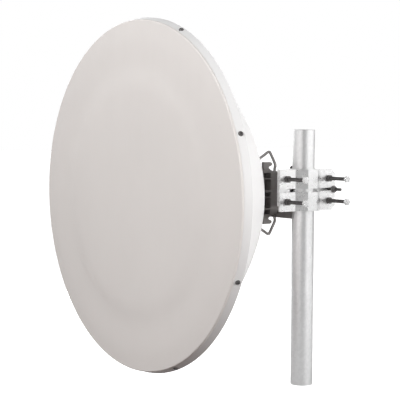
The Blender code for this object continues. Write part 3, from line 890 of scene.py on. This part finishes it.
class DISH_OT_pivot(bpy.types.Operator):
    """Model the pivot bolt with its pointed end, its washer and its tapered nut"""

    bl_idname = "dish.pivot"
    bl_label = "Pivot"

    def execute(self, context):
        low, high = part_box("pivot_bolt")
        bar = threaded("pivot_stud", high.x - low.x - TILT_BOLT_HEAD, TILT_BOLT_R, TILT_PITCH)
        above_head = Matrix.Translation((0.0, 0.0, TILT_BOLT_HEAD))
        place_in_mesh(bar, above_head)
        cap = hexagon_head("pivot_cap", TILT_BOLT_FLATS, TILT_BOLT_HEAD)
        place_in_mesh(cap, above_head @ Matrix.Rotation(math.pi, 4, "X"))
        bolt = joined(bar, [cap])
        place_in_mesh(bolt, at_low_x("pivot_bolt"))
        dressed(bolt, "clamp", ["pivot_bolt"], finish(dark_steel))
        low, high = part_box("pivot_washer")
        bore, thick = TILT_NUT_BORE, high.x - low.x
        washer = turned(
            "plain_washer",
            [(bore, 0.0), (0.0097, 0.0), (0.0100, 0.0004), (0.0100, thick - 0.0005),
             (0.0096, thick), (bore, thick)], at_low_x("pivot_washer"), 48, closed=True)
        smooth(washer, 35.0)
        dressed(washer, "clamp", ["pivot_washer"], finish(grey_steel))
        low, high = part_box("pivot_nut")
        thick = high.x - low.x
        nut = turned(
            "tapered_nut",
            [(bore, 0.0), (0.0073, 0.0), (0.0075, 0.0003), (0.0068, thick - 0.0018),
             (0.0060, thick), (bore + 0.0004, thick), (bore, thick - 0.0004)],
            at_low_x("pivot_nut"), 40, closed=True)
        smooth(nut, 35.0)
        dressed(nut, "clamp", ["pivot_nut"], finish(grey_steel))
        return {"FINISHED"}


class DISH_OT_elevation(bpy.types.Operator):
    """Model the threaded elevation rod, its stop nuts and the bracket's bolt heads"""

    bl_idname = "dish.elevation"
    bl_label = "Elevation rod"

    def execute(self, context):
        low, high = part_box("elevation_rod")
        rod = threaded("threaded_rod", high.z - low.z, TILT_BOLT_R, TILT_PITCH)
        foot = ((low.x + high.x) / 2.0, (low.y + high.y) / 2.0, low.z)
        place_in_mesh(rod, Matrix.Translation(foot))
        dressed(rod, "antenna", ["elevation_rod"], finish(dark_steel))
        low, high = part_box("rod_nut_upper")
        nut = hexagon_head("stop_model", TILT_BOLT_FLATS, high.z - low.z, True, TILT_NUT_BORE)
        names = [("stop_nut_upper", "rod_nut_upper"), ("stop_nut_lower", "rod_nut_lower")]
        places = [
            Matrix.Translation((middle(node).x, middle(node).y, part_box(node)[0].z))
            for _, node in names]
        placed_copies(nut, "antenna", names, places, dark_steel)
        low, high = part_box("bracket_bolt_1")
        head = hexagon_head("small_head_model", TILT_BOLT_FLATS, high.y - low.y)
        names = [(f"hex_head_{i}", f"bracket_bolt_{i}") for i in range(1, 5)]
        places = [
            Matrix.Translation((middle(node).x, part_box(node)[0].y, middle(node).z)) @ REARWARDS
            for _, node in names]
        placed_copies(head, "antenna", names, places, dark_steel)
        return {"FINISHED"}


class DISH_OT_mast(bpy.types.Operator):
    """Turn the galvanised pipe with its cut edges"""

    bl_idname = "dish.mast"
    bl_label = "Mast"

    def execute(self, context):
        top, foot, ease = MAST_HIGH.z, 0.006, 0.0006
        inner = MAST_R - 0.0036
        profile = [
            (0.0, 0.0), (MAST_R - ease, 0.0), (MAST_R, ease), (MAST_R, top - ease),
            (MAST_R - ease, top), (inner + ease, top), (inner, top - ease), (inner, foot),
            (0.0, foot)]
        mast = turned("mast_pipe", profile, None, 96)
        smooth(mast, 40.0)
        dressed(mast, "mast", ["mast"], finish(mast_zinc))
        return {"FINISHED"}


class DISH_OT_stage(bpy.types.Operator):
    """Set the pale floor, the soft lights and the camera"""

    bl_idname = "dish.stage"
    bl_label = "Stage"

    def execute(self, context):
        settings = context.scene.stage_settings
        nothing_selected()
        bpy.ops.mesh.primitive_plane_add(size=60.0, location=(0.0, 0.0, settings.floor_height))
        floor = place_in_mesh(named("floor"))
        floor.data.materials.append(self.floor_material(settings.floor_bounce))
        context.scene.world = self.white_room(settings.sky, settings.mirrored_sky)
        context.scene.view_settings.view_transform = "Standard"

        for name, spot, size, power, mirrored in (
                ("key", (3.1, 0.6, 0.75), 1.8, settings.key_power, False),
                ("low", (1.6, 2.4, 0.15), 1.4, settings.low_power, False),
                ("side", (-2.8, 0.5, 0.3), 1.4, settings.side_power, False),
                ("rear", (-0.6, 2.8, 0.7), 2.4, settings.rear_power, False),
                ("fill", (0.35, -3.1, 2.0), 1.6, settings.fill_power, True)):
            self.lamp(name, Vector(spot), size, power, mirrored)
        self.camera(settings.lens)
        return {"FINISHED"}

    @staticmethod
    def lamp(name, spot, size, power, mirrored):
        """A round soft light, aimed at the dish; metal mirrors it only where it is told to."""
        data = bpy.data.lights.new(name, "AREA")
        data.shape = "DISK"
        data.size = size
        data.energy = power
        lamp = bpy.data.objects.new(name, data)
        bpy.context.scene.collection.objects.link(lamp)
        lamp.location = spot
        lamp.rotation_euler = (LIGHTS_AIM - spot).to_track_quat("-Z", "Y").to_euler()
        lamp.visible_camera = False
        lamp.visible_glossy = mirrored

    @staticmethod
    def camera(lens):
        """The camera at the photo's place, level but for a small roll."""
        data = bpy.data.cameras.new("camera")
        data.sensor_width = 36.0
        data.lens = lens
        camera = bpy.data.objects.new("camera", data)
        bpy.context.scene.collection.objects.link(camera)
        turn, dip, roll = (math.radians(a) for a in (CAMERA_TURN, CAMERA_DIP, CAMERA_ROLL))
        level = Vector((-math.sin(turn), math.cos(turn), 0.0)) * math.cos(dip)
        ahead = level - Vector((0.0, 0.0, math.sin(dip)))
        right = Vector((math.cos(turn), math.sin(turn), 0.0))
        above = right.cross(ahead)
        right_rolled = right * math.cos(roll) + above * math.sin(roll)
        above_rolled = above * math.cos(roll) - right * math.sin(roll)
        axes = Matrix((right_rolled, above_rolled, -ahead)).transposed().to_4x4()
        camera.matrix_world = Matrix.Translation(CAMERA_PLACE) @ axes
        bpy.context.scene.camera = camera

    @staticmethod
    def floor_material(bounce):
        """White to the camera, grey in a mirror and dim in the light that it throws back."""
        pale = bpy.data.materials.new("pale floor")
        pale.use_nodes = True
        tree = pale.node_tree
        shader = tree.nodes["Principled BSDF"]
        shader.inputs["Roughness"].default_value = 0.9
        shader.inputs["Specular IOR Level"].default_value = 0.0
        shader.inputs["Emission Color"].default_value = rgba((1.0, 1.0, 1.0))
        ray = added(tree, "LightPath")
        tones = {"A": rgba((0.85, 0.85, 0.85)), "B": rgba((0.50, 0.50, 0.50))}
        seen = added(tree, "Mix", tones, data_type="RGBA")
        thrown = added(tree, "Mix", {"B": rgba(bounce)}, data_type="RGBA")
        link(
            tree, (ray, "Is Glossy Ray", seen, "Factor"), (seen, "Result", thrown, "A"),
            (ray, "Is Diffuse Ray", thrown, "Factor"), (thrown, "Result", shader, "Base Color"),
            (ray, "Is Camera Ray", shader, "Emission Strength"))
        return pale

    @staticmethod
    def white_room(strength, mirrored):
        """White behind the object, even light on it, and two bright walls that metal mirrors."""
        world = bpy.data.worlds.new("white room")
        world.use_nodes = True
        tree = world.node_tree
        sky = tree.nodes["Background"]
        sky.inputs["Color"].default_value = rgba((1.0, 1.0, 1.0))
        place = added(tree, "TexCoord")
        ray = added(tree, "LightPath")
        brighter = added(tree, "Math", operation="MAXIMUM")
        for i, direction in enumerate(((0.77, 0.64, 0.0), (-1.0, 0.0, 0.0))):
            toward = added(tree, "VectorMath", {1: direction}, operation="DOT_PRODUCT")
            wall = added(
                tree, "MapRange",
                {"From Min": 0.45, "From Max": 0.95, "To Min": 0.28 * mirrored, "To Max": mirrored},
                interpolation_type="SMOOTHSTEP")
            link(
                tree, (place, "Generated", toward, 0), (toward, "Value", wall, "Value"),
                (wall, "Result", brighter, i))
        height = added(tree, "SeparateXYZ")
        overhead = added(
            tree, "MapRange", {"From Min": 0.25, "From Max": 0.85, "To Min": 1.0, "To Max": 0.30},
            interpolation_type="SMOOTHSTEP")
        kind = added(tree, "Mix", {"A": strength})
        dimmed = added(tree, "Math", operation="MULTIPLY")
        level = added(tree, "Mix", {"B": 1.0})
        link(
            tree, (ray, "Is Glossy Ray", kind, "Factor"), (brighter, 0, kind, "B"),
            (place, "Generated", height, "Vector"), (height, "Z", overhead, "Value"),
            (kind, "Result", dimmed, 0), (overhead, "Result", dimmed, 1),
            (ray, "Is Camera Ray", level, "Factor"), (dimmed, 0, level, "A"),
            (level, "Result", sky, "Strength"))
        return world


class DISH_PT_panel(bpy.types.Panel):
    """Buttons for each piece and the sizes that they use"""

    bl_idname = "DISH_PT_panel"
    bl_label = "Dish antenna"
    bl_space_type = "VIEW_3D"
    bl_region_type = "UI"
    bl_category = "Dish"

    def draw(self, context):
        layout = self.layout
        scene = context.scene
        for group in (scene.dish_settings, scene.mount_settings, scene.stage_settings):
            for key in group.bl_rna.properties.keys():
                if key not in ("rna_type", "name"):
                    layout.prop(group, key)
        for operator in OPERATORS:
            layout.operator(operator.bl_idname)


OPERATORS = (
    DISH_OT_cover, DISH_OT_bowl, DISH_OT_rim, DISH_OT_hub, DISH_OT_latches, DISH_OT_bracket,
    DISH_OT_clamp, DISH_OT_clamp_bolts, DISH_OT_pivot, DISH_OT_elevation, DISH_OT_mast,
    DISH_OT_stage)
CLASSES = (DishSettings, MountSettings, StageSettings) + OPERATORS + (DISH_PT_panel,)


def register():
    for cls in CLASSES:
        bpy.utils.register_class(cls)
    bpy.types.Scene.dish_settings = PointerProperty(type=DishSettings)
    bpy.types.Scene.mount_settings = PointerProperty(type=MountSettings)
    bpy.types.Scene.stage_settings = PointerProperty(type=StageSettings)


def unregister():
    del bpy.types.Scene.stage_settings
    del bpy.types.Scene.mount_settings
    del bpy.types.Scene.dish_settings
    for cls in reversed(CLASSES):
        bpy.utils.unregister_class(cls)


def main():
    register()
    bpy.ops.dish.cover()
    bpy.ops.dish.bowl()
    bpy.ops.dish.rim()
    bpy.ops.dish.hub()
    bpy.ops.dish.latches()
    bpy.ops.dish.bracket()
    bpy.ops.dish.clamp()
    bpy.ops.dish.clamp_bolts()
    bpy.ops.dish.pivot()
    bpy.ops.dish.elevation()
    bpy.ops.dish.mast()
    bpy.ops.dish.stage()


if __name__ == "__main__":
    main()
